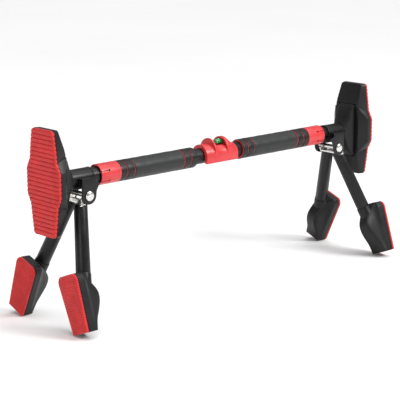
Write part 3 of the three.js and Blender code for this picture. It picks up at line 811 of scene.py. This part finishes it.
# %% Rounded copies
def rounded_copy(node, finish, width_mm, smooth=32.0, segments=3, angle=28.0):
    """A copy of a measured node with merged facets and rounded edges."""
    mesh = bmesh.new()
    mesh.from_mesh(frame["nodes"][node].data)
    bmesh.ops.remove_doubles(mesh, verts=mesh.verts, dist=0.00001)
    bmesh.ops.dissolve_limit(mesh, angle_limit=math.radians(1.0), verts=mesh.verts, edges=mesh.edges)
    blank = to_object("blank", mesh)
    steps = [("BEVEL", {"width": width_mm * MM, "segments": segments, "limit_method": "ANGLE",
                        "angle_limit": math.radians(angle), "use_clamp_overlap": True,
                        "harden_normals": False})]
    return piece(f"{node}_finished", solved(blank, steps), finish, node, smooth)


for side_name, side in SIDES:
    rounded_copy(f"{side_name}_wall_shell", ABS, 1.3, angle=14)
    rounded_copy(f"{side_name}_hub_cone", ABS, 0.5, smooth=20, angle=20)
    rounded_copy(f"{side_name}_leg_bracket", POWDER, 0.5)
    rounded_copy(f"{side_name}_leg_yoke", CHROME, 0.4)
    rounded_copy(f"{side_name}_pivot_bolt", CHROME, 0.4)
    rounded_copy(f"{side_name}_pivot_nut", ZINC, 0.4)
rounded_copy("lock_saddle", RED, 0.7)
rounded_copy("level_vial", SPIRIT, 0.3, smooth=60)

# %% [markdown]
# Two black rings stand a hair off the vial, and the bubble floats at its top between them.

# %% Rings and bubble
MARK_SHIFT = 3.2 * MM
MARK_HALF_WIDTH = 0.35 * MM
MARK_THICKNESS = 0.2 * MM
MARK_PROUD = 0.12 * MM
BUBBLE_SIZE = (2.6 * MM, 1.5 * MM, 0.5 * MM)
BUBBLE_SINK = 0.2 * MM

vial_low, vial_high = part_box("level_vial")
vial_middle = (vial_low + vial_high) / 2
vial_radius = (vial_high.z - vial_low.z) / 2


def vial_band(x, half, radius):
    """A thin ring about the vial, x and half its width in metres."""
    rings = []
    for k in range(32):
        angle = 2 * math.pi * k / 32
        spoke = Vector((0, math.cos(angle), math.sin(angle)))
        centre = Vector((x, vial_middle.y, vial_middle.z))
        rings.append([centre + Vector((dx, 0, 0)) + spoke * r
                      for dx, r in ((-half, radius - MARK_THICKNESS), (-half, radius), (half, radius),
                                    (half, radius - MARK_THICKNESS))])
    return skin(rings, closed=True)


for name, side in SIDES:
    ring = vial_band(vial_middle.x + side * MARK_SHIFT, MARK_HALF_WIDTH, vial_radius + MARK_PROUD)
    extra(f"vial_mark_{name}", ring, BAND, BODY_OF["level_vial"], SLOT_OF["core_tube"])
bubble = bmesh.new()
bmesh.ops.create_uvsphere(bubble, u_segments=24, v_segments=12, radius=1.0)
bmesh.ops.scale(bubble, verts=bubble.verts, vec=BUBBLE_SIZE)
bmesh.ops.translate(bubble, verts=bubble.verts,
                    vec=Vector((vial_middle.x, vial_middle.y, vial_high.z - BUBBLE_SINK)))
extra("vial_bubble", bubble, BUBBLE, BODY_OF["level_vial"], SLOT_OF["level_vial"], 60)

# %% [markdown]
# ## Camera, light and floor
# A long lens from the front left, a little above the bar. A large soft lamp stands at the front right and
# above, so the faces that turn to the left end fall into shade. A weak strip at the left lifts them a
# little, and a wide, soft light from the sky keeps the floor white while the surroundings stay dim.

# %% Camera
AZIMUTH, ELEVATION, ROLL = (math.radians(v) for v in (-42.636, 12.947, -0.16))
DISTANCE = 2.8109
target = AXIS + Vector((-39.25, 0, -88.49)) * MM
back = Vector((math.sin(AZIMUTH) * math.cos(ELEVATION), -math.cos(AZIMUTH) * math.cos(ELEVATION),
               math.sin(ELEVATION)))
right = Vector((math.cos(AZIMUTH), math.sin(AZIMUTH), 0))
up = back.cross(right)
level = right * math.cos(ROLL) + up * math.sin(ROLL)
upright = up * math.cos(ROLL) - right * math.sin(ROLL)
camera_data = bpy.data.cameras.new("camera")
camera = bpy.data.objects.new("camera", camera_data)
bpy.context.scene.collection.objects.link(camera)
camera.matrix_world = Matrix.Translation(target + back * DISTANCE) @ Matrix(
    (level, upright, back)).transposed().to_4x4()
camera_data.lens = 128.34
camera_data.sensor_width = 36.0
camera_data.clip_end = 50
bpy.context.scene.camera = camera


# %% Lamps
def lamp(name, place, aim, size, power):
    """A square soft lamp at place, turned to aim."""
    data = bpy.data.lights.new(name, "AREA")
    data.shape = "SQUARE"
    data.size = size
    data.energy = power
    thing = bpy.data.objects.new(name, data)
    bpy.context.scene.collection.objects.link(thing)
    thing.location = place
    thing.rotation_euler = (Vector(aim) - Vector(place)).to_track_quat("-Z", "Y").to_euler()


lamp("key", (1.3, -2.4, 2.2), (0, 0, 0.2), 1.0, 62)
lamp("left_strip", (-2.6, -1.0, 0.9), (0, 0, 0.15), 0.5, 9)
sun_data = bpy.data.lights.new("sky_light", "SUN")
sun_data.energy = 1.9
sun_data.angle = math.radians(70)
sun = bpy.data.objects.new("sky_light", sun_data)
sun.rotation_euler = (math.radians(12), math.radians(10), 0)
bpy.context.scene.collection.objects.link(sun)
world = bpy.data.worlds.new("studio")
world.use_nodes = True
world.node_tree.nodes["Background"].inputs["Color"].default_value = (1, 1, 1, 1)
world.node_tree.nodes["Background"].inputs["Strength"].default_value = 0.42
bpy.context.scene.world = world
bpy.context.scene.view_settings.view_transform = "Standard"

# %% Floor
floor_finish, floor_tree, floor_shader, floor_place = start_finish("white_floor", Roughness=0.9)
two_tone(floor_tree, floor_shader, spread(floor_tree, blotches(floor_tree, floor_place, 900.0), 0, 1),
         "#F7F7F7", "#FAFAFA")
floor_mesh = bmesh.new()
bmesh.ops.create_grid(floor_mesh, x_segments=2, y_segments=2, size=12)
bmesh.ops.translate(floor_mesh, verts=floor_mesh.verts, vec=(0, 0, -0.0005))
floor_object = to_object("floor", floor_mesh)
floor_object.data.materials.append(floor_finish)
floor_object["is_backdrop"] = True

# %% Sizes
seen_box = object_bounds()
[[[float(v) for v in corner] for corner in pair] for pair in (cad_box, seen_box)]
